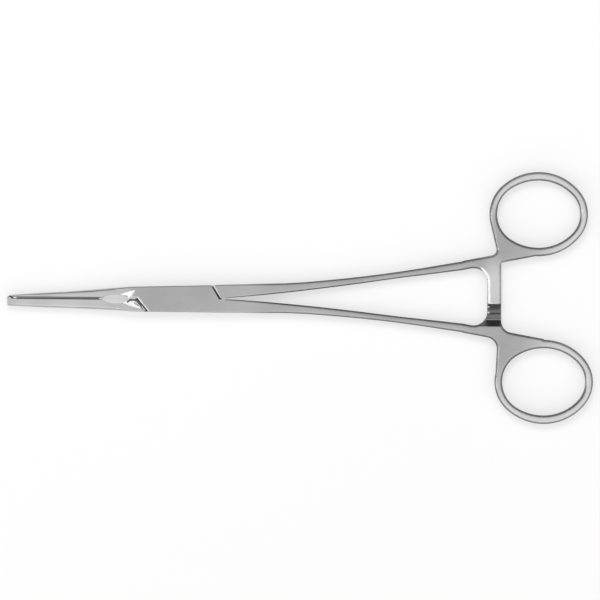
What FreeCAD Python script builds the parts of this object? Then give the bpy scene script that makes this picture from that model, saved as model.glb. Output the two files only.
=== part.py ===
import FreeCAD, Part
import math
import os

# Straight vascular clamp with a box lock, lying flat and closed. Millimetres.
# X runs from the jaw tips (-X) to the finger rings (+X), Y goes across the clamp and Z up.
# The origin is the point where the axis of the lock pin meets the underside of the box.
# The box half has the jaw on the +Y side and the ring on the -Y side, the tongue half the others.

V = FreeCAD.Vector
BOX_HALF = 1
TONGUE_HALF = -1

# Box lock
BOX_THICK = 4.8
BOX_FRONT = 17.0
BOX_REAR = 16.0
BOX_FRONT_HALF_WIDTH = 4.2
BOX_REAR_HALF_WIDTH = 4.8
BOX_EDGE_ROUND = 0.5
CHEEK_FRONT_AHEAD = 14.4
CHEEK_FRONT_ASIDE = 0.85
CHEEK_FRONT_CORNER = 10.3
CHEEK_REAR_AHEAD = 13.8
CHEEK_REAR_ASIDE = 0.17
CHEEK_REAR_CORNER = 11.0
CHEEK_CHAMFER = 0.45
SHOULDER_CHAMFER = 0.5
SHOULDER_GAP = 0.5
SHOULDER_TOP_GAP = 0.95
SHOULDER_CORNER_GAP = 0.25
TONGUE_THICK = 1.7
TONGUE_HALF_WIDTH = 2.5
TONGUE_ANGLE = 9.0
TONGUE_SIDE_GAP = 0.05
TONGUE_EDGE_GAP = 0.15
OPEN_ANGLE = 45.0
STOP_SPARE = 1.5
PIN_RADIUS = 2.0
PIN_RUNNING_GAP = 0.04

# Jaws
JAW_REACH = 58.6
CLOSING_LEAN = 0.5
JAW_TIP_THICK = 2.2
JAW_FACE_RECESS = 0.25
JAW_FACE_BEVEL = 0.22
JAW_SEAT = 0.5
JAW_THINNING = 0.85
JAW_BLANK_FROM_TIP = 1.6
NOSE_CHAMFER = 0.3
NOSE_STEP = 0.04
NOSE_GAP = 0.1
EYE_LENGTH = 9.2
EYE_WIDTH = 3.0
EYE_AHEAD = 21.6
EYE_ASIDE = 0.05
BOX_HOLLOW_DEPTH = 1.1
TONGUE_HOLLOW_DEPTH = 1.5
HOLLOW_HEADROOM = 1.0

# Fine teeth of the jaws: two rows on the box half, one row on the tongue half between them
TOOTH_PITCH = 0.6
TOOTH_HEIGHT = 0.25
TOOTH_TIP_PAST_LINE = 0.18
TOOTH_ROW_WIDTH = 0.55
TOOTH_ROW_GAP = 0.06
TOOTH_FIRST_FROM_TIP = 3.2
TOOTH_LAST_FROM_EYE = 0.6

# Shanks
SHANK_LENGTH = 81.0
SHANK_CROTCH_GAP = 0.3
SHANK_SPREAD = 10.7
HANDLE_LEAN = 0.0077
HANDLE_THICK = 3.8
HANDLE_WIDTH = 3.1
HANDLE_SLOPE = 0.19
HANDLE_END_ROUND = 1.35
HANDLE_CHAMFER = 0.75
SHANK_SEAT = 0.6
SHANK_SEAT_INSET = 0.03
SHANK_SPANS = 12

# Finger rings
RING_BORE_LENGTH = 28.5
RING_BORE_WIDTH = 23.0
RING_END_BAND = 2.5
RING_SIDE_BAND = 2.85
RING_END_RADIUS = 9.9
RING_EGG = 0.45
RING_AHEAD = 25.9
RING_ASIDE = 17.92
RING_MIDDLE_ASIDE = 0.34
RING_STAGGER = 1.7
RING_WEB_START = 3.0
RING_WEB_REACH = 15.0
RING_WEB_END = 6.0
TONGUE_WEB_AHEAD = 13.6
BOX_WEB_AHEAD = 15.7
TONGUE_NOTCH_RADIUS = 2.0
BOX_NOTCH_RADIUS = 4.0

# Ratchet arms
ARM_AHEAD = 8.4
ARM_WIDTH = 4.7
ARM_THROAT_RADIUS = 4.7
TONGUE_HEEL_RADIUS = 0.6
BOX_HEEL_RADIUS = 4.0
RATCHET_PITCH = 1.95
RATCHET_TEETH = 5
RATCHET_ENGAGED = 2
RATCHET_TOOTH_HEIGHT = 0.8
RATCHET_FACE_RUN = 0.15
RATCHET_END_LAND = 0.97
RATCHET_GAP = 0.06
RATCHET_MIDDLE_Y = 0.2
RATCHET_FLOOR = 0.45
RATCHET_SLOPE_RUN = 2.2

# What follows from the sizes above
MID_Z = BOX_THICK / 2
SLOT_THICK = TONGUE_THICK + 2 * TONGUE_SIDE_GAP
HANDLE_X = BOX_REAR + SHANK_LENGTH
Z_AXIS = V(0, 0, 1)
FAR = 2.5 * BOX_FRONT
EYE_CENTRE = V(-EYE_AHEAD, EYE_ASIDE, 0)


def box_half_width(x):
    """Half of the width of the box in plan, which grows evenly to the rear."""
    share = (x + BOX_FRONT) / (BOX_REAR + BOX_FRONT)
    return BOX_FRONT_HALF_WIDTH + (BOX_REAR_HALF_WIDTH - BOX_FRONT_HALF_WIDTH) * share


# The slanted ends of the cheeks: in front of the pin and behind it
CHEEK_FRONT_INNER = V(-CHEEK_FRONT_AHEAD, CHEEK_FRONT_ASIDE, 0)
CHEEK_FRONT_OUTER = V(-CHEEK_FRONT_CORNER, -box_half_width(-CHEEK_FRONT_CORNER), 0)
CHEEK_REAR_INNER = V(CHEEK_REAR_AHEAD, -CHEEK_REAR_ASIDE, 0)
CHEEK_REAR_OUTER = V(CHEEK_REAR_CORNER, box_half_width(CHEEK_REAR_CORNER), 0)


def prism(points, z_low, z_high):
    """Upright solid over a plan outline given as corner points."""
    corners = [V(p.x, p.y, z_low) for p in points]
    outline = Part.makePolygon(corners + corners[:1])
    return Part.Face(outline).extrude(V(0, 0, z_high - z_low))


def fused(shapes):
    """One clean solid out of overlapping ones."""
    return shapes[0].multiFuse(shapes[1:]).removeSplitter()


def line_at(a, b, y):
    """X of the straight line from a to b at the given y."""
    return a.x + (b.x - a.x) * (y - a.y) / (b.y - a.y)


def line_through(a, b, x):
    """Y of the straight line from a to b at the given x."""
    return a.y + (b.y - a.y) * (x - a.x) / (b.x - a.x)


# Box lock

def cheek_line(inner, outer, shift):
    """The slanted end of a cheek, moved outwards along X by the shift."""
    move = V(shift, 0, 0)
    return inner + move, outer + move


def edges_along(solid, start, end, z_levels):
    """Straight edges of a solid that lie on the line from start to end, at the given heights."""
    direction = (end - start).normalize()
    found = []
    for edge in solid.Edges:
        first = edge.Vertexes[0].Point
        last = edge.Vertexes[-1].Point
        if not any(abs(first.z - z) < 1e-4 and abs(last.z - z) < 1e-4 for z in z_levels):
            continue
        ends = [V(p.x - start.x, p.y - start.y, 0).cross(direction).Length for p in (first, last)]
        if max(ends) < 1e-4:
            found.append(edge)
    return found


def box_block():
    """Full-thickness middle of the box half, with cheeks, webs and the starts of jaw and shank."""
    jaw_back = V(-BOX_FRONT, BOX_FRONT_HALF_WIDTH, 0)
    shank_inner, shank_back = shank_edges(BOX_HALF, 0.0)
    points = [V(-BOX_FRONT, CHEEK_FRONT_INNER.y, 0), CHEEK_FRONT_INNER, CHEEK_FRONT_OUTER,
              shank_back, shank_inner, CHEEK_REAR_INNER, CHEEK_REAR_OUTER, jaw_back]
    block = prism(points, 0, BOX_THICK)
    faces = [0, BOX_THICK]
    block = block.makeChamfer(CHEEK_CHAMFER, edges_along(block, CHEEK_FRONT_INNER, CHEEK_FRONT_OUTER, faces))
    long_edges = edges_along(block, jaw_back, CHEEK_REAR_OUTER, faces)
    long_edges += edges_along(block, CHEEK_FRONT_OUTER, shank_back, faces)
    return block.makeFillet(BOX_EDGE_ROUND, long_edges)


def front_shoulder():
    """Full-thickness root of the tongue half's jaw, in front of the cheeks."""
    inner, outer = cheek_line(CHEEK_FRONT_INNER, CHEEK_FRONT_OUTER, -SHOULDER_GAP)
    jaw_inner = V(-BOX_FRONT, EYE_CENTRE.y, 0)
    jaw_back = V(-BOX_FRONT, -BOX_FRONT_HALF_WIDTH, 0)
    top = V(line_at(inner, outer, inner.y - SHOULDER_TOP_GAP), inner.y - SHOULDER_TOP_GAP, 0)
    block = prism([jaw_inner, top, outer, jaw_back], 0, BOX_THICK)
    return block.makeFillet(BOX_EDGE_ROUND, edges_along(block, jaw_back, outer, [0, BOX_THICK]))


def rear_shoulder():
    """Full-thickness start of the tongue half's shank, behind the cheeks."""
    inner, outer = cheek_line(CHEEK_REAR_INNER, CHEEK_REAR_OUTER, SHOULDER_GAP)
    shank_inner, shank_back = shank_edges(TONGUE_HALF, 0.0)
    corner = V(line_at(inner, outer, inner.y + SHOULDER_CORNER_GAP), inner.y + SHOULDER_CORNER_GAP, 0)
    faces = [0, BOX_THICK]
    block = prism([corner, shank_inner, shank_back, outer], 0, BOX_THICK)
    block = block.makeChamfer(SHOULDER_CHAMFER, edges_along(block, corner, outer, faces))
    return block.makeFillet(BOX_EDGE_ROUND, edges_along(block, outer, shank_back, faces))


def tongue_strip(half_width, thick, angle):
    """Flat strip through the pin's axis, with its length turned to the given angle."""
    strip = Part.makeBox(2 * FAR, 2 * half_width, thick, V(-FAR, -half_width, MID_Z - thick / 2))
    return strip.rotate(V(0, 0, 0), Z_AXIS, angle)


def tongue():
    """The thin tongue between the cheeks, cut off inside the two shoulders."""
    strip = tongue_strip(TONGUE_HALF_WIDTH, TONGUE_THICK, TONGUE_ANGLE)
    front_inner, front_outer = cheek_line(CHEEK_FRONT_INNER, CHEEK_FRONT_OUTER, -2 * SHOULDER_GAP)
    rear_inner, rear_outer = cheek_line(CHEEK_REAR_INNER, CHEEK_REAR_OUTER, 2 * SHOULDER_GAP)
    between = prism([front_inner, front_outer, rear_inner, rear_outer], 0, BOX_THICK)
    return strip.common(between)


def slot():
    """What the tongue sweeps between the closed and the widest open position."""
    half_width = TONGUE_HALF_WIDTH + TONGUE_EDGE_GAP
    last = TONGUE_ANGLE + OPEN_ANGLE + STOP_SPARE
    parts = [tongue_strip(half_width, SLOT_THICK, TONGUE_ANGLE), tongue_strip(half_width, SLOT_THICK, last)]
    for start in (TONGUE_ANGLE, TONGUE_ANGLE + 180):
        sector = Part.makeCylinder(FAR, SLOT_THICK, V(0, 0, MID_Z - SLOT_THICK / 2), Z_AXIS,
                                   OPEN_ANGLE + STOP_SPARE)
        parts.append(sector.rotate(V(0, 0, 0), Z_AXIS, start))
    return fused(parts)


# Jaws

# Each station of a jaw: share of the way from its root to its tip, distance of the back from the
# closing line on the box half and on the tongue half, and the radius of the back's edges on each.
JAW_STATIONS = [
    (0.00, 4.05, 4.25, 0.5, 0.5),
    (0.14, 3.60, 3.95, 1.1, 1.1),
    (0.32, 2.95, 3.70, 1.4, 1.4),
    (0.55, 2.20, 3.45, 1.15, 1.3),
    (0.80, 1.55, 3.15, 0.75, 1.1),
    (1.00, 0.92, 2.75, 0.35, 0.9),
]


def jaw_thickness(share):
    """Thickness of a jaw, which thins evenly from the box to the tip."""
    return BOX_THICK + (JAW_TIP_THICK - BOX_THICK) * share ** JAW_THINNING


def jaw_section(x, side, back, thick, radius):
    """D-shaped section with a flat inner face, bevelled at both edges, and a rounded back."""
    half = thick / 2
    low = JAW_FACE_RECESS
    bevelled = low + JAW_FACE_BEVEL
    slant = radius * (1 - math.sqrt(0.5))

    def at(y, z):
        return V(x, side * y, MID_Z + z)

    corners = [at(low, half - JAW_FACE_BEVEL), at(bevelled, half), at(back - radius, half)]
    upper_arc = Part.Arc(corners[2], at(back - slant, half - slant), at(back, half - radius))
    lower_arc = Part.Arc(at(back, radius - half), at(back - slant, slant - half), at(back - radius, -half))
    edges = [
        Part.LineSegment(corners[0], corners[1]),
        Part.LineSegment(corners[1], corners[2]),
        upper_arc,
        Part.LineSegment(at(back, half - radius), at(back, radius - half)),
        lower_arc,
        Part.LineSegment(at(back - radius, -half), at(bevelled, -half)),
        Part.LineSegment(at(bevelled, -half), at(low, JAW_FACE_BEVEL - half)),
        Part.LineSegment(at(low, JAW_FACE_BEVEL - half), corners[0]),
    ]
    return Part.Wire([edge.toShape() for edge in edges])


def jaw_blank(side):
    """Tapering jaw from inside the box block to the tip, with its closing line along y = 0."""
    root_x = JAW_SEAT - BOX_FRONT
    tip_x = JAW_BLANK_FROM_TIP - JAW_REACH
    sections = []
    for share, box_back, tongue_back, box_radius, tongue_radius in JAW_STATIONS:
        x = root_x + (tip_x - root_x) * share
        back = box_back if side == BOX_HALF else tongue_back
        radius = box_radius if side == BOX_HALF else tongue_radius
        sections.append(jaw_section(x, side, back, jaw_thickness(share), radius))
    return Part.makeLoft(sections, True, True)


# Corners of the nose that ends the tongue half's jaw: distance from the tip, Y, rounding in plan.
# The slanted side between the third and the fourth one closes against the other jaw's tip.
NOSE_CORNERS = [
    (2.6, -2.75, 0),
    (2.6, -0.25, 0),
    (2.4, -0.25, 0),
    (1.3, 0.72, 0.45),
    (0.0, 0.72, 1.0),
    (0.0, -2.68, 0.9),
]


def nose_prism(z_low, z_high):
    """Upright solid over the nose's outline."""
    corners = [V(from_tip - JAW_REACH, y, 0) for from_tip, y, radius in NOSE_CORNERS]
    solid = prism(corners, z_low, z_high)
    for (from_tip, y, radius), corner in zip(NOSE_CORNERS, corners):
        if radius:
            solid = solid.makeFillet(radius, [upright_edge_near(solid, corner)])
    return solid


def nose():
    """The nose, with the edges of both its faces chamfered."""
    half = JAW_TIP_THICK / 2 - NOSE_STEP
    solid = nose_prism(MID_Z - half, MID_Z + half)
    free_end = JAW_BLANK_FROM_TIP - JAW_REACH
    rim = [e for e in solid.Edges if e.BoundBox.ZLength < 1e-6 and e.CenterOfMass.x < free_end]
    return solid.makeChamfer(NOSE_CHAMFER, rim)


def tooth_row(side, z_low, z_high):
    """One row of fine teeth along the closing line, pointing to the other jaw."""
    first = TOOTH_FIRST_FROM_TIP - JAW_REACH
    last = EYE_CENTRE.x - EYE_LENGTH / 2 - TOOTH_LAST_FROM_EYE
    count = int((last - first) / TOOTH_PITCH)
    tip_y = -side * TOOTH_TIP_PAST_LINE
    root_y = tip_y + side * TOOTH_HEIGHT
    seat_y = side * (JAW_FACE_RECESS + JAW_FACE_BEVEL)
    points = [V(first, seat_y, 0), V(first, root_y, 0)]
    for number in range(count):
        points.append(V(first + (number + 0.5) * TOOTH_PITCH, tip_y, 0))
        points.append(V(first + (number + 1) * TOOTH_PITCH, root_y, 0))
    points.append(V(first + count * TOOTH_PITCH, seat_y, 0))
    return prism(points, z_low, z_high)


def jaw_teeth(side):
    """Two rows beside the middle on the box half, one row on the middle on the tongue half."""
    half = TOOTH_ROW_WIDTH / 2
    if side == TONGUE_HALF:
        return [tooth_row(side, MID_Z - half, MID_Z + half)]
    near = half + TOOTH_ROW_GAP
    far = near + TOOTH_ROW_WIDTH
    return [tooth_row(side, MID_Z + near, MID_Z + far), tooth_row(side, MID_Z - far, MID_Z - near)]


def jaw(side):
    """A whole jaw, leaning by the closing line's angle."""
    blank = jaw_blank(side)
    if side == TONGUE_HALF:
        blank = fused([blank, nose()])
    else:
        room = nose_prism(-BOX_THICK, 2 * BOX_THICK)
        blank = blank.cut(room.translate(V(NOSE_GAP, NOSE_GAP, 0)))
    toothed = fused([blank] + jaw_teeth(side))
    return toothed.rotate(V(0, 0, 0), Z_AXIS, -CLOSING_LEAN)


def eye():
    """The lens-shaped opening between the roots of the closed jaws."""
    outline = Part.Ellipse(V(EYE_CENTRE.x, EYE_CENTRE.y, 0), EYE_LENGTH / 2, EYE_WIDTH / 2)
    return Part.Face(Part.Wire(outline.toShape())).extrude(V(0, 0, BOX_THICK))


# Hollows ground beside the eye, in plan: distance in front of the pin and Y of each corner. The first
# side of each lies in the face of the jaw, and the third corner is the deepest.
BOX_HOLLOW = [(20.6, 1.75), (14.7, 3.07), (16.05, 0.51), (17.5, -0.6), (20.9, 0.6)]
TONGUE_HOLLOW = [(18.9, -1.62), (12.0, -3.6), (13.9, 0.45), (17.0, 0.6), (18.5, -0.6)]


def hollows(side):
    """A slanting cut in both faces of a jaw's root, which leaves a bright flat beside the eye."""
    depth = BOX_HOLLOW_DEPTH if side == BOX_HALF else TONGUE_HOLLOW_DEPTH
    plan = [V(-ahead, y, BOX_THICK) for ahead, y in (BOX_HOLLOW if side == BOX_HALF else TONGUE_HOLLOW)]
    first, second, deepest = plan[0], plan[1], plan[2] - V(0, 0, depth)
    normal = (second - first).cross(deepest - first)
    low = []
    for corner in plan:
        from_first = corner - first
        low.append(V(corner.x, corner.y, first.z - (normal.x * from_first.x + normal.y * from_first.y) / normal.z))
    high = [V(corner.x, corner.y, BOX_THICK + HOLLOW_HEADROOM) for corner in plan]
    wires = [Part.makePolygon(ring + ring[:1]) for ring in (low, high)]
    upper = Part.makeLoft(wires, True, True)
    return Part.makeCompound([upper, upper.mirror(V(0, 0, MID_Z), Z_AXIS)])


# Shanks

# Each station of a shank: share of its length, distance of its middle from the clamp's axis,
# width, thickness and edge radius. The ends are set by the box and by the handle.
SHANK_STATIONS = [
    (0.146, 3.00, 3.90, 4.3, 0.80),
    (0.296, 3.72, 3.00, 3.8, 0.95),
    (0.444, 4.85, 2.60, 3.4, 1.00),
    (0.593, 6.20, 2.30, 3.2, 1.00),
    (0.741, 7.75, 2.20, 3.2, 1.00),
    (0.889, 9.35, 2.65, 3.5, 1.10),
]


def shank_stations():
    """All stations from the box to the handle."""
    root_width = BOX_REAR_HALF_WIDTH - SHANK_CROTCH_GAP / 2
    root_middle = (BOX_REAR_HALF_WIDTH + SHANK_CROTCH_GAP / 2) / 2
    first = (0.0, root_middle, root_width, BOX_THICK, BOX_EDGE_ROUND)
    last = (1.0, SHANK_SPREAD, HANDLE_WIDTH, HANDLE_THICK, HANDLE_END_ROUND)
    return [first] + SHANK_STATIONS + [last]


def shank_x(share):
    """X of the section at this share of the shank's length."""
    return BOX_REAR + share * SHANK_LENGTH


def shank_edges(side, share):
    """Inner and outer edge of a shank in plan; the box half's shank is on the -Y side."""
    station = [s for s in shank_stations() if s[0] == share][0]
    x = shank_x(share)
    lean = HANDLE_LEAN * x
    inner = -side * (station[1] - station[2] / 2) + lean
    outer = -side * (station[1] + station[2] / 2) + lean
    return V(x, inner, 0), V(x, outer, 0)


def rounded_section(x, middle_y, width, thick, radius):
    """Rounded rectangle across the X axis."""
    y = width / 2 - radius
    z = thick / 2 - radius
    corner = radius * math.sqrt(0.5)
    edges = []
    turns = [(1, 1), (-1, 1), (-1, -1), (1, -1)]
    for number, (sy, sz) in enumerate(turns):
        centre = V(x, middle_y + sy * y, MID_Z + sz * z)
        along_y = centre + V(0, sy * radius, 0)
        along_z = centre + V(0, 0, sz * radius)
        middle = centre + V(0, sy * corner, sz * corner)
        start, end = (along_y, along_z) if sy * sz > 0 else (along_z, along_y)
        edges.append(Part.Arc(start, middle, end).toShape())
        next_y, next_z = turns[(number + 1) % 4]
        next_centre = V(x, middle_y + next_y * y, MID_Z + next_z * z)
        shift = V(0, 0, sz * radius) if next_z == sz else V(0, sy * radius, 0)
        edges.append(Part.LineSegment(centre + shift, next_centre + shift).toShape())
    return Part.Wire(edges)


def smooth_station(share):
    """Middle, width, thickness and edge radius anywhere along a shank, on curves through the stations."""
    stations = shank_stations()
    last = len(stations) - 1
    index = max(i for i in range(last) if stations[i][0] <= share)
    before, low, high, after = [stations[min(max(index + k, 0), last)] for k in (-1, 0, 1, 2)]
    span = high[0] - low[0]
    t = (share - low[0]) / span
    values = []
    for a, b, c, d in list(zip(before, low, high, after))[1:]:
        start_slope = (c - a) / (high[0] - before[0]) * span
        end_slope = (d - b) / (after[0] - low[0]) * span
        values.append(b + t * start_slope + t * t * (3 * (c - b) - 2 * start_slope - end_slope)
                      + t * t * t * (2 * (b - c) + start_slope + end_slope))
    return values


def shank(side):
    """Slender shank, its two ends seated just inside the box and the handle."""
    sections = []
    for number in range(SHANK_SPANS + 1):
        share = number / SHANK_SPANS
        middle, width, thick, radius = smooth_station(share)
        x = shank_x(share)
        middle_y = -side * middle + HANDLE_LEAN * x
        if number in (0, SHANK_SPANS):
            x += SHANK_SEAT if number else -SHANK_SEAT
            width -= 2 * SHANK_SEAT_INSET
            thick -= 2 * SHANK_SEAT_INSET
        sections.append(rounded_section(x, middle_y, width, thick, radius))
    return Part.makeLoft(sections, True, True)


# Handles: finger ring, end of the shank and ratchet arm

def ring_centre(side):
    """Centre of a finger ring; the box half's ring sits a little further back."""
    x = HANDLE_X + RING_AHEAD + (RING_STAGGER if side == BOX_HALF else 0)
    return V(x, -side * (SHANK_SPREAD + RING_ASIDE) + RING_MIDDLE_ASIDE, 0)


def oval_prism(side, end_band, side_band, z_low, z_high):
    """Egg of arcs that run into each other: the ring's bore, or the bore widened by a band.

    Bore and outside share the centres of their end arcs; the blunter end is towards the shank.
    """
    centre = ring_centre(side) + V(0, 0, z_low)
    half_length = RING_BORE_LENGTH / 2 + end_band
    half_width = RING_BORE_WIDTH / 2 + side_band
    arcs = []
    for end in (-1, 1):
        radius = RING_END_RADIUS - end * RING_EGG + end_band
        ahead = half_length - radius
        side_radius = (ahead ** 2 + half_width ** 2 - radius ** 2) / (2 * (half_width - radius))
        drop = side_radius - half_width
        joint_angle = math.atan2(drop, ahead)
        middle_angle = (joint_angle + math.pi / 2) / 2
        joint_x = side_radius * math.cos(joint_angle)
        joint_y = side_radius * math.sin(joint_angle) - drop
        middle_x = side_radius * math.cos(middle_angle)
        middle_y = side_radius * math.sin(middle_angle) - drop
        for top in (-1, 1):
            broadest = centre + V(0, top * half_width, 0)
            middle = centre + V(end * middle_x, top * middle_y, 0)
            arcs.append(Part.Arc(broadest, middle, centre + V(end * joint_x, top * joint_y, 0)))
        lower, upper = [centre + V(end * joint_x, top * joint_y, 0) for top in (-1, 1)]
        arcs.append(Part.Arc(lower, centre + V(end * half_length, 0, 0), upper))
    outline = Part.Wire(Part.__sortEdges__([arc.toShape() for arc in arcs]))
    return Part.Face(outline).extrude(V(0, 0, z_high - z_low))


def arm_x():
    """X of the left and the right edge of both ratchet arms."""
    return HANDLE_X + ARM_AHEAD, HANDLE_X + ARM_AHEAD + ARM_WIDTH


def engaged_reach():
    """How far the first tooth face of each arm passes the ratchet's middle."""
    return (RATCHET_ENGAGED - 1) / 2 * RATCHET_PITCH


def arm_end_y(side):
    """Y of the free end of a ratchet arm."""
    return RATCHET_MIDDLE_Y + side * (engaged_reach() + RATCHET_END_LAND)


def upright_edge_near(solid, point):
    """The upright edge of a solid that stands nearest to a plan point."""
    upright = []
    for edge in solid.Edges:
        first = edge.Vertexes[0].Point
        last = edge.Vertexes[-1].Point
        if abs(first.x - last.x) < 1e-6 and abs(first.y - last.y) < 1e-6:
            upright.append(edge)
    return min(upright, key=lambda e: (e.Vertexes[0].Point - V(point.x, point.y, e.Vertexes[0].Point.z)).Length)


def neck_sizes(side):
    """Where the web in front of the ring ends, the notch's radius and the radius behind the arm."""
    if side == BOX_HALF:
        return BOX_WEB_AHEAD, BOX_NOTCH_RADIUS, BOX_HEEL_RADIUS
    return TONGUE_WEB_AHEAD, TONGUE_NOTCH_RADIUS, TONGUE_HEEL_RADIUS


def ring_web(side, z_low, z_high):
    """Web that carries the front of the ring straight on into the shank's end."""
    centre = ring_centre(side)
    half_length = RING_BORE_LENGTH / 2 + RING_END_BAND
    half_width = RING_BORE_WIDTH / 2 + RING_SIDE_BAND
    front = half_length * math.sqrt(1 - (RING_WEB_START / half_width) ** 2)
    plan = [(-front, RING_WEB_START), (-neck_sizes(side)[0], RING_WEB_REACH),
            (-RING_WEB_END, RING_WEB_REACH), (-RING_WEB_END, RING_WEB_START)]
    return prism([centre + V(x, side * y, 0) for x, y in plan], z_low, z_high)


def handle_plan(side):
    """Ring, shank end and arm as one upright solid, with the inner corners rounded in plan."""
    z_low = MID_Z - HANDLE_THICK / 2
    z_high = MID_Z + HANDLE_THICK / 2
    inner, outer = shank_edges(side, 1.0)
    ring_x = ring_centre(side).x
    run = ring_x - HANDLE_X
    climb = V(run, -side * run * HANDLE_SLOPE, 0)
    strip = prism([inner, inner + climb, outer + climb, outer], z_low, z_high)
    left, right = arm_x()
    root_y = line_through(inner, inner + climb, right) - side * HANDLE_WIDTH / 2
    end_y = arm_end_y(side)
    corners = [V(left, end_y, 0), V(right, end_y, 0), V(right, root_y, 0), V(left, root_y, 0)]
    arm = prism(corners, z_low, z_high)
    oval = oval_prism(side, RING_END_BAND, RING_SIDE_BAND, z_low, z_high)
    body = fused([oval, strip, arm, ring_web(side, z_low, z_high)])
    web_ahead, notch_radius, heel_radius = neck_sizes(side)
    throat = V(left, line_through(inner, inner + climb, left), 0)
    heel = V(right, line_through(inner, inner + climb, right), 0)
    notch_x = ring_x - web_ahead
    notch = V(notch_x, line_through(outer, outer + climb, notch_x), 0)
    for corner, radius in ((throat, ARM_THROAT_RADIUS), (heel, heel_radius), (notch, notch_radius)):
        body = body.makeFillet(radius, [upright_edge_near(body, corner)])
    return body.cut(oval_prism(side, 0, 0, z_low, z_high))


def rim_edges(solid, side):
    """Edges of the upper and lower face of a handle, apart from its two cut ends."""
    found = []
    for edge in solid.Edges:
        box = edge.BoundBox
        if box.ZLength > 1e-4:
            continue
        at_shank = box.XMax < HANDLE_X + 1e-3
        at_arm_end = abs(box.YMin - arm_end_y(side)) < 1e-3 and abs(box.YMax - arm_end_y(side)) < 1e-3
        if not at_shank and not at_arm_end:
            found.append(edge)
    return found


def ratchet_cutter():
    """What is cut away above the teeth of the box half's arm, as a solid across the arm."""
    z_tip = MID_Z + RATCHET_TOOTH_HEIGHT / 2 - RATCHET_GAP / 2
    z_root = z_tip - RATCHET_TOOTH_HEIGHT
    z_top = MID_Z + HANDLE_THICK / 2
    first_face = RATCHET_MIDDLE_Y + engaged_reach()
    end_y = arm_end_y(BOX_HALF)
    slope_run = RATCHET_PITCH - RATCHET_FACE_RUN
    end_z = z_tip - RATCHET_TOOTH_HEIGHT * RATCHET_END_LAND / slope_run
    left = arm_x()[0] - ARM_THROAT_RADIUS
    profile = [(end_y + 1, z_top + 1), (end_y + 1, end_z), (end_y, end_z)]
    for number in range(RATCHET_TEETH):
        face_y = first_face - number * RATCHET_PITCH
        profile.append((face_y, z_tip))
        profile.append((face_y - RATCHET_FACE_RUN, z_root))
    floor_y = profile[-1][0] - RATCHET_FLOOR
    rise = (z_top - z_root) / RATCHET_SLOPE_RUN
    profile.append((floor_y, z_root))
    profile.append((floor_y - RATCHET_SLOPE_RUN, z_top))
    profile.append((floor_y - RATCHET_SLOPE_RUN - 1 / rise, z_top + 1))
    corners = [V(left, y, z) for y, z in profile]
    face = Part.Face(Part.makePolygon(corners + corners[:1]))
    return face.extrude(V(ARM_WIDTH + ARM_THROAT_RADIUS + BOX_HEEL_RADIUS, 0, 0))


def handle(side):
    """Ring, shank end and toothed arm of one half."""
    body = handle_plan(side)
    body = body.makeChamfer(HANDLE_CHAMFER, rim_edges(body, side))
    cutter = ratchet_cutter()
    if side == TONGUE_HALF:
        # The other arm is the same one turned over, set back so that the tooth faces meet
        turn_y = RATCHET_MIDDLE_Y - (RATCHET_FACE_RUN + RATCHET_GAP) / 2
        cutter = cutter.rotate(V(0, turn_y, MID_Z), V(1, 0, 0), 180)
    return body.cut(cutter)


# The three pieces

def box_half():
    pieces = [jaw(BOX_HALF), box_block(), shank(BOX_HALF), handle(BOX_HALF)]
    body = fused(pieces).cut(eye()).cut(hollows(BOX_HALF)).cut(slot())
    return body.cut(lock_pin())


def tongue_half():
    pieces = [jaw(TONGUE_HALF), front_shoulder(), tongue(), rear_shoulder(), shank(TONGUE_HALF),
              handle(TONGUE_HALF)]
    body = fused(pieces).cut(eye()).cut(hollows(TONGUE_HALF))
    return body.cut(Part.makeCylinder(PIN_RADIUS + PIN_RUNNING_GAP, BOX_THICK))


def lock_pin():
    return Part.makeCylinder(PIN_RADIUS, BOX_THICK)


os.makedirs("parts", exist_ok=True)
for name, make in (("box_half", box_half), ("tongue_half", tongue_half), ("lock_pin", lock_pin)):
    shape = make()
    solid = shape.Solids[0]
    print(name, len(shape.Solids), "solid", round(solid.Volume, 1), "mm3, valid", solid.isValid())
    solid.exportStep("parts/" + name + ".step")
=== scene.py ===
# %% [markdown]
# # A vascular clamp, dressed for a studio photograph
#
# The clamp is two steel forgings that cross in a box lock and turn on one pin. It lies closed on a
# pale table, and the camera hangs straight above it. The measured solids come first, because every
# later surface has to agree with them to a hundredth of a millimetre.

import bpy
import numpy as np
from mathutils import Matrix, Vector

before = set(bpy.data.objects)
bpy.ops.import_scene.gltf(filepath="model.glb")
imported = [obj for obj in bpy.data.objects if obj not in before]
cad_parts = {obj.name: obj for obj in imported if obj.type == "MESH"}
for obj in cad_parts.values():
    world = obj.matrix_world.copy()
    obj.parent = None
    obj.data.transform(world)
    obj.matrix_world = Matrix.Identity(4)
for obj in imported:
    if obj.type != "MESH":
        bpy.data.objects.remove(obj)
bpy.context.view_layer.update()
MM = 0.001

# %% [markdown]
# ## The camera
#
# Seen from straight above, the clamp shows no perspective at all: both rings are the same size and
# no side wall is visible. A long lens from far away gives that flat look. The frame is 205 mm wide,
# and its centre lies 41 mm behind the lock pin, between the shanks.

# %% Camera straight above
FRAME_WIDTH = 204.9 * MM
FRAME_PIXELS = 600
FRAME_CENTRE = Vector((41.42 * MM, -0.34 * MM, 0))
CAMERA_HEIGHT = 1.2
MIDDLE_HEIGHT = 2.4 * MM
SENSOR = 36.0

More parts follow.
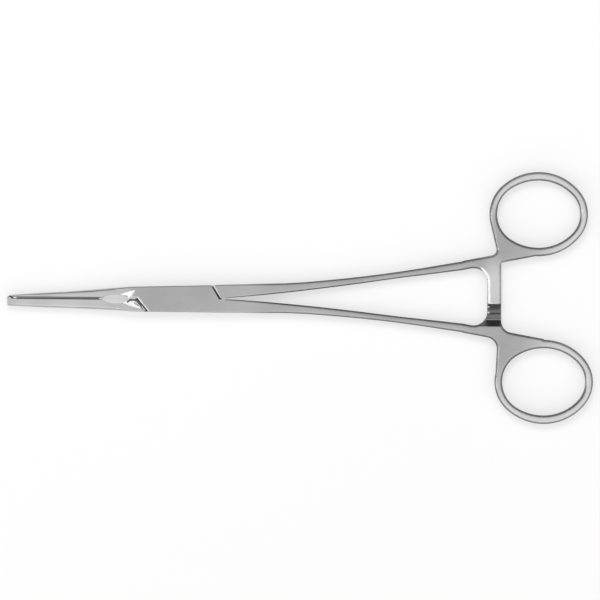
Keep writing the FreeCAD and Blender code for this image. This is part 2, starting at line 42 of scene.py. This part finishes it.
lens = bpy.data.cameras.new("studio_camera")
lens.sensor_width = SENSOR
lens.lens = SENSOR * (CAMERA_HEIGHT - MIDDLE_HEIGHT) / FRAME_WIDTH
camera = bpy.data.objects.new("studio_camera", lens)
camera.location = FRAME_CENTRE + Vector((0, 0, CAMERA_HEIGHT))
bpy.context.scene.collection.objects.link(camera)
bpy.context.scene.camera = camera
print("lens mm", round(lens.lens, 1), "pixel mm", round(FRAME_WIDTH / FRAME_PIXELS / MM, 4))

# %% [markdown]
# ## Shader maths as plain expressions
#
# A finish is mostly arithmetic on patterns. It could be wired by hand from dozens of Math nodes, but
# written as Python expressions it stays readable, so this small class wraps a node's socket and adds
# a Math node for each operator. Colours go through a Mix node and normals through a Bump node,
# because a Math node turns a colour grey.

# %% Sockets that add up
class Wire:
    """One output socket of a material's node tree, with arithmetic."""

    def __init__(self, tree, socket):
        self.tree = tree
        self.socket = socket

    def node(self, kind, settings=None, output=0, **links):
        """A new node: its settings are set first, then values or wires go into the named sockets.

        A socket's name has _ for each space, or is its number, as in i0 for the first socket.
        """
        made = self.tree.nodes.new(kind)
        for name, value in (settings or {}).items():
            setattr(made, name, value)
        for name, value in links.items():
            key = int(name[1:]) if name[1:].isdigit() else name.replace("_", " ")
            if isinstance(value, Wire):
                self.tree.links.new(value.socket, made.inputs[key])
            else:
                made.inputs[key].default_value = value
        return Wire(self.tree, made.outputs[output])

    def also(self, name):
        """Another output of the same node."""
        return Wire(self.tree, self.socket.node.outputs[name])

    def maths(self, operation, other, swapped=False):
        """A Math node on this value and another one, in this order or swapped."""
        first, second = (other, self) if swapped else (self, other)
        return self.node("ShaderNodeMath", {"operation": operation}, i0=first, i1=second)

    def __add__(self, other):
        return self.maths("ADD", other)

    def __radd__(self, other):
        return self.maths("ADD", other, swapped=True)

    def __sub__(self, other):
        return self.maths("SUBTRACT", other)

    def __rsub__(self, other):
        return self.maths("SUBTRACT", other, swapped=True)

    def __mul__(self, other):
        return self.maths("MULTIPLY", other)

    def __rmul__(self, other):
        return self.maths("MULTIPLY", other, swapped=True)

    def __pow__(self, other):
        return self.maths("POWER", other)

    def __abs__(self):
        return self.node("ShaderNodeMath", {"operation": "ABSOLUTE"}, i0=self)

    def at_least(self, other):
        """The higher of two values."""
        return self.maths("MAXIMUM", other)

    def ramp(self, low, high):
        """0 below low, 1 above high and a smooth step between them."""
        return self.node("ShaderNodeMapRange", {"interpolation_type": "SMOOTHSTEP"}, Value=self,
                         From_Min=low, From_Max=high)

    def mix(self, low, high):
        """The colour low where this value is 0, the colour high where it is 1, mixed in between."""
        low, high = [end if isinstance(end, Wire) else (*end, 1.0) for end in (low, high)]
        return self.node("ShaderNodeMix", {"data_type": "RGBA"}, output=2, i0=self, i6=low, i7=high)


print("arithmetic on wires", "+ - * ** abs")


# %% A shader to start from
def blank_material(name):
    """A material with only a Principled shader; returns it, a wire to start from and the shader."""
    material = bpy.data.materials.new(name)
    material.use_nodes = True
    shader = material.node_tree.nodes["Principled BSDF"]
    return material, Wire(material.node_tree, None), shader


def feed(shader, socket, value):
    """Sets a socket of the shader to a number or a colour, or links a wire to it."""
    if isinstance(value, Wire):
        value.tree.links.new(value.socket, shader.inputs[socket])
    else:
        shader.inputs[socket].default_value = value


print("helpers", [helper.__name__ for helper in (blank_material, feed)])

# %% [markdown]
# ## Marks that keep their place
#
# Seams, painted shade and painted highlights sit at fixed places on the steel. They could be painted
# into an image, but an image has to be unwrapped and goes soft close up. Here each mark is a mask, a
# number from 0 to 1 worked out from Object coordinates, so it is good to a tenth of a millimetre and
# moves with the steel when the clamp opens. X runs along the clamp, away from the jaws, Y across it,
# and Z up from the table. The points of the lines below are in millimetres.

# %% Masks by place
SOFT_EDGE = 0.1 * MM


class Spot:
    """A spot on the steel: where it lies along the clamp, across it and above the table."""

    def __init__(self, start):
        self.place = start.node("ShaderNodeTexCoord", output=3)
        self.along = self.place.node("ShaderNodeSeparateXYZ", Vector=self.place)
        self.across = self.along.also("Y")
        self.tall = self.along.also("Z")


def within(wire, low, high):
    """1 between low and high and 0 outside, with soft ends."""
    rising = wire.ramp(low - SOFT_EDGE, low + SOFT_EDGE)
    return rising * (1 - wire.ramp(high - SOFT_EDGE, high + SOFT_EDGE))


def distance(along, across, middle, squeeze=1.0):
    """From a middle: the root of the sum of squares, where lengths along the clamp count more."""
    return ((along - middle[0]) ** 2.0 * squeeze ** 2 + (across - middle[1]) ** 2.0) ** 0.5


print("soft edge in pixels", round(SOFT_EDGE / FRAME_WIDTH * FRAME_PIXELS, 2))


# %% Stripes beside a line
def beside(spot, start, end):
    """How far a spot lies ahead on the line from start to end and how far to its left, and its length.

    Each is a dot product, with the line's direction or with that direction turned a quarter left.
    """
    start, end = np.array(start) * MM, np.array(end) * MM
    length = float(np.hypot(*(end - start)))
    forward = (end - start) / length
    leftward = np.array((-forward[1], forward[0]))
    ahead, aside = [
        spot.along * float(way[0]) + spot.across * float(way[1]) - float(way @ start)
        for way in (forward, leftward)
    ]
    return ahead, aside, length


def stripe(spot, start, end, low, high):
    """1 beside the line from start to end, where the distance to its left is from low to high."""
    ahead, aside, length = beside(spot, start, end)
    return within(ahead, 0.0, length) * within(aside, low * MM, high * MM)


def any_stripe(spot, lines):
    """1 where a spot is in one of the stripes."""
    found = stripe(spot, *lines[0])
    for line in lines[1:]:
        found = found.at_least(stripe(spot, *line))
    return found


# the closing line of the jaws, a stripe where shade is painted dark grey
CLOSING_LINE = ((-57.2, 0.5), (-26.5, 0.23), -0.36, 0.36)
closing_length = np.hypot(*np.subtract(CLOSING_LINE[1], CLOSING_LINE[0]))
print("closing line of the jaws mm", round(float(closing_length), 1))

# %% [markdown]
# ## The ratchet
#
# Seen from above, the teeth of the lower ratchet arm look almost black with small white sparks: they
# lie in shade between the arms and mirror the dark room, and their left corners catch the light. The
# teeth are geometry, so the material paints that shade dark grey on what lies between the faces of
# the handles and paints a white glint at each tooth. A ping-pong of the distance across counts the
# teeth off, which is shorter than listing them.

# %% Toothed faces with painted shade and painted glints
RATCHET_ALONG = (105.0 * MM, 110.6 * MM)
RATCHET_ACROSS = (-9.5 * MM, -1.6 * MM)
UNDER_LEVEL = 0.55 * MM
FACE_LEVEL = 4.25 * MM
TOOTH_PITCH = 1.95 * MM
TOOTH_FIRST = -2.75 * MM
TOOTH_LAST = -5.4 * MM
SPARK_ALONG = (105.45 * MM, 106.1 * MM)
SPARK_HALF = (0.2 * MM, 0.4 * MM)
SPARK_TILT = (0.3, 0.6)


def toothed_faces(spot):
    """1 on the ratchet below the upper face of the handles and above their lower face."""
    cut = within(spot.tall, UNDER_LEVEL, FACE_LEVEL)
    return within(spot.along, *RATCHET_ALONG) * within(spot.across, *RATCHET_ACROSS) * cut


def painted_tooth_glints(spot, level):
    """Painted glint: 1 at the left corner of each tooth in the gap between the arms, and not on upright
    walls.
    """
    across = spot.across - TOOTH_FIRST
    tooth = across.node("ShaderNodeMath", {"operation": "PINGPONG"}, i0=across, i1=TOOTH_PITCH / 2)
    spark = (1 - tooth.ramp(*SPARK_HALF)) * within(spot.along, *SPARK_ALONG)
    in_gap = within(spot.across, TOOTH_LAST, RATCHET_ACROSS[1]) * within(spot.tall, UNDER_LEVEL, FACE_LEVEL)
    return spark * in_gap * level.ramp(*SPARK_TILT)


print("ratchet pitch mm", TOOTH_PITCH / MM)

# %% [markdown]
# ## Rounded handles and their painted dark outlines
#
# The shanks and rings are rounded by hand on a wheel, while the solids have plain chamfers there. A
# Bevel node turns the normal smoothly within a millimetre of each edge, which rounds the shading
# without touching the mesh. The Z part of that normal says how level the steel lies: 1 on a flat
# face, about 0.7 on a chamfer and 0 on a wall. Steel that lies neither level nor upright mirrors the
# dark room, and that dark reflection is painted into the colour of the handles there as a near-black
# outline, weaker on their walls and around the ratchet arm.

# %% Rounding and outlines
HANDLE_START = (20.0 * MM, 34.0 * MM)
HANDLE_ROUND = 1.2 * MM
ROUND_SAMPLES = 8
SLOPE_TILT = (0.50, 0.93)
WALL_TILT = (0.02, 0.30)
WALL_SHARE = 0.4
ARM_MIDDLE = (107.9 * MM, 4.5 * MM)
ARM_SQUEEZE = 2.0
ARM_SOFT = (9.0 * MM, 18.0 * MM)
ARM_SHARE = 0.3


def hand_rounded(spot, toothed):
    """The normal, turned smoothly near the edges of the handles, and how level the steel lies there."""
    radius = spot.along.ramp(*HANDLE_START) * (1 - toothed) * HANDLE_ROUND
    rounded = radius.node("ShaderNodeBevel", {"samples": ROUND_SAMPLES}, Radius=radius)
    return rounded, abs(rounded.node("ShaderNodeSeparateXYZ", output=2, Vector=rounded))


def painted_outline_reflection(spot, level):
    """Painted reflection of the dark room: near 1 on the rounded edges of the handles, less on their walls
    and around the ratchet arm.
    """
    slope = (1 - level.ramp(*SLOPE_TILT)) * (WALL_SHARE + (1 - WALL_SHARE) * level.ramp(*WALL_TILT))
    from_arm = distance(spot.along, spot.across, ARM_MIDDLE, ARM_SQUEEZE).ramp(*ARM_SOFT)
    return slope * spot.along.ramp(*HANDLE_START) * (ARM_SHARE + (1 - ARM_SHARE) * from_arm)


print("rounding of the handles mm", HANDLE_ROUND / MM)

# %% [markdown]
# ## Hollows, seams and edges of the box lock
#
# Beside the eye, where the jaws leave the box, the slanted hollows carry a painted highlight: they
# are white and not metal, apart from a small leaf and a dim strip. The seams, where one half goes
# into the other, hold shadow, and that shade is painted near black, but only on what slants or is
# cut into the box. Where the halves meet, and down the left of the ratchet arm, the chamfers catch
# the low lamp, and that highlight is painted white.

# %% Painted highlights on the hollows beside the eye
HOLLOW_ALONG = (-21.0 * MM, -11.0 * MM)
HOLLOW_ACROSS = (-3.3 * MM, 3.3 * MM)
HOLLOW_LEAF = ((-15.2, -1.2), (-13.6, -2.3), -0.25, 0.25)
HOLLOW_DIM = ((-13.9, 0.2), (-10.4, -4.1), -1.4, -0.7)
HOLLOW_DIMMED = 0.6
HOLLOW_TILT = (0.45, 0.6)
FLAT_TILT = (0.94, 0.985)


def painted_hollow_highlights(spot, level):
    """Painted highlight: 1 on the slanted faces beside the eye, 0 on the leaf and in between on the dim
    strip.
    """
    slanted = (1 - level.ramp(*FLAT_TILT)) * level.ramp(*HOLLOW_TILT)
    highlight = within(spot.along, *HOLLOW_ALONG) * within(spot.across, *HOLLOW_ACROSS) * slanted
    return highlight * (1 - stripe(spot, *HOLLOW_LEAF)) * (1 - HOLLOW_DIMMED * stripe(spot, *HOLLOW_DIM))


print("hollows mm long", round((HOLLOW_ALONG[1] - HOLLOW_ALONG[0]) / MM, 1))

# %% Seams with painted shade and edges with painted highlights
# lines where shade is painted near black: the seams of the box lock, the edge of the eye and the parting at
# the tip
SEAMS = [
    ((-20.3, 1.45), (-17.3, 0.9), -0.15, 0.15),
    ((-57.9, 1.1), (-56.1, 0.4), -0.25, 0.25),
    ((-17.5, -1.2), (-16.5, -0.2), -0.25, 0.35),
    ((-16.6, -0.25), (-15.2, 0.1), -0.6, 0.6),
    ((-15.3, 0.1), (-13.8, -0.2), -0.75, 0.65),
    ((-14.4, 0.85), (-10.4, -4.1), -1.0, 0.0),
    ((11.0, 4.4), (13.8, -0.2), 0.0, 0.5),
    ((13.7, -0.2), (15.4, 0.2), -0.2, 0.2),
]
# edges whose chamfers carry a painted highlight where the low lamp on the left catches them
HIGHLIT_EDGES = [
    ((-14.4, 0.85), (-10.3, -4.2), 0.0, 0.5),
    ((11.2, 4.5), (14.0, 0.0), 0.5, 1.0),
    ((105.7, -1.6), (105.5, 7.2), -1.4, 0.0),
    ((105.5, 6.8), (102.9, 10.9), -1.4, 0.0),
]
BOX_CUT = (0.18 * MM, 4.62 * MM)
HIGHLIGHT_TILT = (0.1, 0.4)
HIGHLIGHT_LEVEL = (2.2 * MM, 2.6 * MM)


def painted_seam_shade(spot, tilted):
    """Painted shade: 1 along the seams, on what slants and on what is cut into the box."""
    return any_stripe(spot, SEAMS) * within(spot.tall, *BOX_CUT).at_least(tilted)


def painted_edge_highlights(spot, level, tilted):
    """Painted highlight: 1 on the chamfers of the upper faces along the lit edges, and not on upright
    walls.
    """
    return any_stripe(spot, HIGHLIT_EDGES) * tilted * level.ramp(*HIGHLIGHT_TILT) * spot.tall.ramp(*HIGHLIGHT_LEVEL)


print("seams", len(SEAMS), "highlit edges", len(HIGHLIT_EDGES))

# %% [markdown]
# ## Satin steel
#
# The forgings are stainless steel, blasted with fine glass beads and then lightly brushed along
# their length, so they throw no glare in the operating light. Three patterns make that finish: grain
# that is drawn out along the clamp, a fine pimple from the beads, and broad soft patches where a hand
# has polished it. The patches change the colour a little and the gloss more, and the other two feed a
# Bump node. The steel is a little darker on the box, which is handled least, and lighter on the
# ratchet arm and on the far sides of the rings.

# %% Colours of the steel
STEEL_DARK = (0.47, 0.47, 0.47)
STEEL_LIGHT = (0.58, 0.58, 0.58)
# near black: the painted reflection of the dark room on the handles' outlines, and a little of it in the
# box's darker tone
STEEL_NEAR_BLACK = (0.06, 0.06, 0.06)
STEEL_RUBBED = (0.86, 0.86, 0.86)
# dark grey of the painted shade on the closing line and between the ratchet teeth
STEEL_CREVICE_SHADE = (0.22, 0.22, 0.22)
# white of the painted highlights, which are not metal
STEEL_HIGHLIGHT_WHITE = (0.84, 0.84, 0.84)
# near black of the painted shade in the seams
STEEL_SHADED = (0.08, 0.08, 0.08)
PATCH_SHARE = 0.7
PATCH_STEP = (0.3, 0.7)
BOX_FRONT_EDGE = ((-14.4, 0.85), (-10.3, -4.2))
BOX_FADE = (-2.5 * MM, 1.5 * MM)
BOX_DARKER = 0.24
ARM_REACH = (2.5 * MM, 13.0 * MM)
WEB_MIDDLE = (108.0 * MM, 14.0 * MM)
RING_REACH = (8.0 * MM, 24.0 * MM)
RING_START = (98.0 * MM, 104.0 * MM)
RUBBED_LIGHTER = 0.45
OUTLINE_DARKER = 0.85


def forged_colour(spot, patches, grain):
    """The plain steel between its marks: mottled, darker on the box, lighter on arm and rings."""
    mottled = (patches * PATCH_SHARE + grain * (1 - PATCH_SHARE)).ramp(*PATCH_STEP)
    behind_front_edge = beside(spot, *BOX_FRONT_EDGE)[1].ramp(*BOX_FADE)
    colour = (behind_front_edge * BOX_DARKER).mix(mottled.mix(STEEL_DARK, STEEL_LIGHT), STEEL_NEAR_BLACK)
    arm = 1 - distance(spot.along, spot.across, ARM_MIDDLE, ARM_SQUEEZE).ramp(*ARM_REACH)
    from_web = distance(spot.along, abs(spot.across), WEB_MIDDLE)
    rings = from_web.ramp(*RING_REACH) * spot.along.ramp(*RING_START)
    return (arm.at_least(rings) * RUBBED_LIGHTER).mix(colour, STEEL_RUBBED)


print("steel from", STEEL_DARK[0], "to", STEEL_LIGHT[0])

# %% Satin steel material
GRAIN_PER_METRE = (450.0, 9000.0, 9000.0)
GRAIN_DETAIL = 4.0
BEADS_PER_METRE = 11000.0
BEADS_DETAIL = 1.0
PATCHES_PER_METRE = 70.0
PATCHES_DETAIL = 3.0
PATCH_GLOSS = 0.16
GRAIN_GLOSS = 0.10
HIGHLIGHT_GLOSS = 0.5
GRAIN_SHARE = 0.7
MIDDLE_GREY = 0.5


def satin_steel(name, roughness, grain_depth):
    """Brushed and blasted steel with its marks, painted shade and painted highlights; the grain is
    grain_depth metres deep.
    """
    material, start, shader = blank_material(name)
    spot = Spot(start)
    drawn_out = start.node("ShaderNodeMapping", Vector=spot.place, Scale=GRAIN_PER_METRE)
    grain, beads, patches = [
        start.node("ShaderNodeTexNoise", Vector=place, Scale=scale, Detail=detail)
        for place, scale, detail in (
            (drawn_out, 1.0, GRAIN_DETAIL),
            (spot.place, BEADS_PER_METRE, BEADS_DETAIL),
            (spot.place, PATCHES_PER_METRE, PATCHES_DETAIL),
        )
    ]

    toothed = toothed_faces(spot)
    rounded, level = hand_rounded(spot, toothed)
    tilted = 1 - level.ramp(*FLAT_TILT)
    # painted highlights, white and not metal: the hollows, the chamfers the low lamp catches and the tooth
    # glints
    bright = painted_hollow_highlights(spot, level).at_least(painted_edge_highlights(spot, level, tilted))
    bright = bright.at_least(painted_tooth_glints(spot, level))

    colour = forged_colour(spot, patches, grain)
    # painted reflection: the rounded edges of the handles are painted near black, as they mirror the dark
    # room
    colour = (painted_outline_reflection(spot, level) * OUTLINE_DARKER).mix(colour, STEEL_NEAR_BLACK)
    # painted shade: the closing line of the jaws and the ratchet teeth take dark grey
    colour = stripe(spot, *CLOSING_LINE).at_least(toothed).mix(colour, STEEL_CREVICE_SHADE)
    # painted highlights take white here
    colour = bright.mix(colour, STEEL_HIGHLIGHT_WHITE)
    # painted shade: the seams are painted near black on top of everything else
    feed(shader, "Base Color", painted_seam_shade(spot, tilted).mix(colour, STEEL_SHADED))
    feed(shader, "Metallic", 1 - bright)
    satin = roughness + (patches - MIDDLE_GREY) * PATCH_GLOSS + (grain - MIDDLE_GREY) * GRAIN_GLOSS
    feed(shader, "Roughness", satin * (1 - bright * HIGHLIGHT_GLOSS))
    height = grain * GRAIN_SHARE + beads * (1 - GRAIN_SHARE)
    bump = height.node("ShaderNodeBump", Height=height, Strength=1.0, Distance=grain_depth, Normal=rounded)
    feed(shader, "Normal", bump)
    return material


forged_steel = satin_steel("satin_steel", roughness=0.34, grain_depth=0.004 * MM)
pin_steel = satin_steel("pin_steel", roughness=0.30, grain_depth=0.003 * MM)
for name, steel in (("box_half", forged_steel), ("tongue_half", forged_steel), ("lock_pin", pin_steel)):
    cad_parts[name].data.materials.clear()
    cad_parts[name].data.materials.append(steel)
print("materials", [(steel.name, len(steel.node_tree.nodes)) for steel in (forged_steel, pin_steel)])

# %% [markdown]
# ## Soft shading on the solids
#
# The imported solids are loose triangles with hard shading. A small node modifier welds them for
# display, shades them smooth and keeps every edge hard that turns by more than twenty degrees.
# Weighted normals then let the large flat faces stay flat, so only the narrow bevels look round.
# The solids' own meshes aren't touched.

# %% Weld and shade the solids
WELD = 0.0005 * MM
HARD_ANGLE = np.radians(20.0)


def welded_shading():
    """Geometry nodes: merge doubles, shade smooth, mark hard edges by their angle."""
    group = bpy.data.node_groups.new("welded_shading", "GeometryNodeTree")
    group.interface.new_socket("Geometry", in_out="INPUT", socket_type="NodeSocketGeometry")
    group.interface.new_socket("Geometry", in_out="OUTPUT", socket_type="NodeSocketGeometry")
    nodes, links = group.nodes, group.links
    entry = nodes.new("NodeGroupInput")
    weld = nodes.new("GeometryNodeMergeByDistance")
    weld.inputs["Distance"].default_value = WELD
    soft = nodes.new("GeometryNodeSetShadeSmooth")
    angle = nodes.new("GeometryNodeInputMeshEdgeAngle")
    hard = nodes.new("FunctionNodeCompare")
    hard.data_type = "FLOAT"
    hard.operation = "GREATER_THAN"
    hard.inputs[1].default_value = HARD_ANGLE
    crease = nodes.new("GeometryNodeSetShadeSmooth")
    crease.domain = "EDGE"
    crease.inputs["Shade Smooth"].default_value = False
    leave = nodes.new("NodeGroupOutput")
    links.new(entry.outputs[0], weld.inputs["Geometry"])
    links.new(weld.outputs[0], soft.inputs["Geometry"])
    links.new(soft.outputs[0], crease.inputs["Geometry"])
    links.new(angle.outputs["Unsigned Angle"], hard.inputs[0])
    links.new(hard.outputs[0], crease.inputs["Selection"])
    links.new(crease.outputs[0], leave.inputs[0])
    return group


soften = welded_shading()
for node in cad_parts.values():
    step = node.modifiers.new("weld and shade", "NODES")
    step.node_group = soften
    weights = node.modifiers.new("flat faces stay flat", "WEIGHTED_NORMAL")
    weights.keep_sharp = True
print("softened", len(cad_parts), "solids")

# %% [markdown]
# ## Table
#
# The photograph has a white table that takes a narrow, soft shadow. A white enough floor could be lit
# until it clips, but then the clamp would be too bright as well. So the table is pale paint mixed
# half and half with a plain white glow that only the camera, gloss and glass see: it looks white in
# the picture and in the steel, and the painted half keeps the shadow. It lies a hair below the clamp.

# %% A white table
TABLE_HALF = 60.0
TABLE_DROP = 0.02 * MM
TABLE_COLOUR = (0.81, 0.81, 0.81, 1.0)
TABLE_ROUGHNESS = 0.9
TABLE_WHITENESS = 0.50

table_mesh = bpy.data.meshes.new("table")
corners = TABLE_HALF * np.array([(-1, -1, 0), (1, -1, 0), (1, 1, 0), (-1, 1, 0)], float)
corners = corners + np.array(FRAME_CENTRE) - (0, 0, TABLE_DROP)
table_mesh.from_pydata(corners.tolist(), [], [(0, 1, 2, 3)])
table = bpy.data.objects.new("table", table_mesh)
bpy.context.scene.collection.objects.link(table)
table_paint, table_start, table_shader = blank_material("table_paint")
feed(table_shader, "Base Color", TABLE_COLOUR)
feed(table_shader, "Roughness", TABLE_ROUGHNESS)
rays = table_start.node("ShaderNodeLightPath")
seen = rays.at_least(rays.also("Is Glossy Ray")).at_least(rays.also("Is Transmission Ray"))
white = table_start.node("ShaderNodeEmission", Color=(1, 1, 1, 1), Strength=1.0)
paint = Wire(table_start.tree, table_shader.outputs[0])
blend = seen.node("ShaderNodeMixShader", i0=seen * TABLE_WHITENESS, i1=paint, i2=white)
blend.tree.links.new(blend.socket, blend.tree.nodes["Material Output"].inputs["Surface"])
table_mesh.materials.append(table_paint)
print("table m wide", 2 * TABLE_HALF)

# %% [markdown]
# ## Light
#
# Polished metal shows its surroundings, so the sky matters as much as the lamps. It is bright
# overhead, which the flat faces mirror, and dark towards the horizon, and that dark band draws the
# lines along every rounded edge; on the handles a near-black outline painted into the steel's colour
# deepens them. The side towards the viewer is brighter than the back, as in the photograph, where
# upper outlines are darker than lower ones. The key lamp stands behind the upper edge, so the shadow
# falls just below the clamp, and it is hidden from gloss, because its mirror image would burn streaks
# into the rounding. A weaker low lamp on the left catches the edges there, and the strongest of those
# highlights are painted white on the chamfers as well.

# %% World
HORIZON_TOP = 0.10
HORIZON_FADE = 0.25
BACK_RISE = 0.25
SIDE_TURN = 0.4
CROWN_EDGE = (0.72, 0.95)
HORIZON_BACK = (0.03, 0.03, 0.03)
HORIZON_FRONT = (0.05, 0.05, 0.05)
SKY_BACK = (0.85, 0.85, 0.85)
SKY_FRONT = (1.30, 1.30, 1.30)
SKY_CROWN = (1.02, 1.02, 1.02)

world = bpy.data.worlds.new("studio")
bpy.context.scene.world = world
world.use_nodes = True
background = world.node_tree.nodes["Background"]
direction = Wire(world.node_tree, None).node("ShaderNodeTexCoord", output=0)
side = direction.node("ShaderNodeSeparateXYZ", output=1, Vector=direction)
height = side.also("Z")
near_side = 1 - side.ramp(-SIDE_TURN, SIDE_TURN)
rise = (height - (1 - near_side) * BACK_RISE).ramp(HORIZON_TOP, HORIZON_TOP + HORIZON_FADE)
low_glow = near_side.mix(HORIZON_BACK, HORIZON_FRONT)
high_glow = height.ramp(*CROWN_EDGE).mix(near_side.mix(SKY_BACK, SKY_FRONT), SKY_CROWN)
world.node_tree.links.new(rise.mix(low_glow, high_glow).socket, background.inputs["Color"])
background.inputs["Strength"].default_value = 1.0
print("sky overhead", SKY_CROWN[0], "at the horizon", HORIZON_BACK[0], "to", HORIZON_FRONT[0])

# %% Lamps
KEY_PLACE = (-0.12, 0.62, 1.05)
KEY_SIZE = 0.45
KEY_POWER = 4.5
LOW_PLACE = (-1.0, -0.05, 0.26)
LOW_SIZE = 0.34
LOW_POWER = 1.9


def soft_box(name, place, size, power):
    """A square area lamp that looks at the middle of the clamp."""
    lamp = bpy.data.lights.new(name, "AREA")
    lamp.size = size
    lamp.energy = power
    holder = bpy.data.objects.new(name, lamp)
    holder.location = FRAME_CENTRE + Vector(place)
    holder.rotation_euler = (-Vector(place)).to_track_quat("-Z", "Y").to_euler()
    bpy.context.scene.collection.objects.link(holder)
    return holder


key_light = soft_box("key_light", KEY_PLACE, KEY_SIZE, KEY_POWER)
key_light.visible_glossy = False
low_light = soft_box("low_light", LOW_PLACE, LOW_SIZE, LOW_POWER)
print("lamps", [(lamp.name, lamp.data.energy) for lamp in (key_light, low_light)])

# %% [markdown]
# ## Finish
#
# The view transform is Standard, so a colour comes out about as it is written.

# %% View settings and the end
bpy.context.scene.view_settings.view_transform = "Standard"
